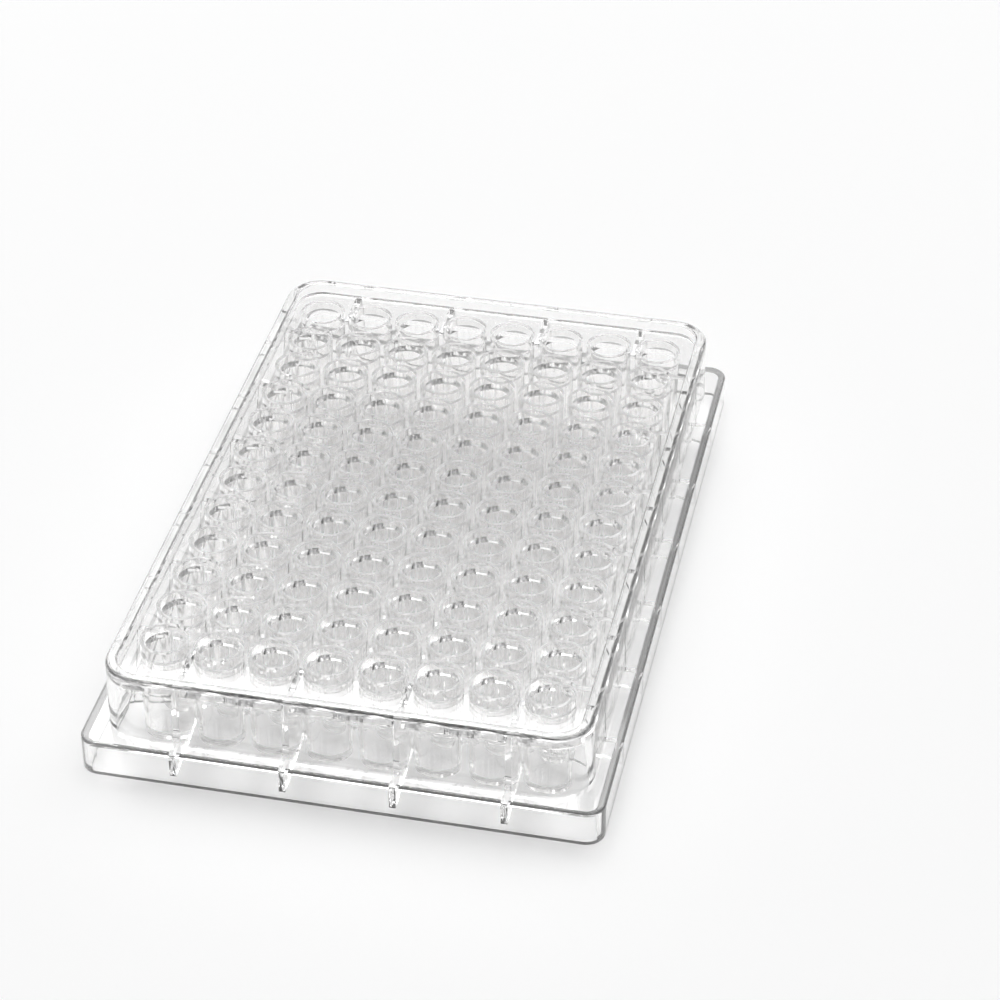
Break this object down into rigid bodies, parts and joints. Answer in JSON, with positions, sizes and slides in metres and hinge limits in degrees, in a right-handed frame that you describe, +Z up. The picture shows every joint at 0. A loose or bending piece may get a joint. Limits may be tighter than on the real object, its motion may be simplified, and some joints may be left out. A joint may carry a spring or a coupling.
{
  "type": "well plate",
  "caption": "Clear moulded laboratory well plate: a grid of raised, flat-bottomed wells in a rimmed deck, on a stepped base skirt.",
  "frame": {"origin": "middle of the footprint, on the surface that the base flange stands on", "axes": "+X across the short side (columns of wells), +Y along the long side (rows of wells), +Z up, out of the wells' mouths"},
  "size_m": [0.0854, 0.1278, 0.0179],
  "materials": {
    "clear_plastic": "clear, glossy polystyrene, faintly grey where it is thick"
  },
  "bodies": {
    "root": {"plate": "clear_plastic"}
  },
  "joints": []
}
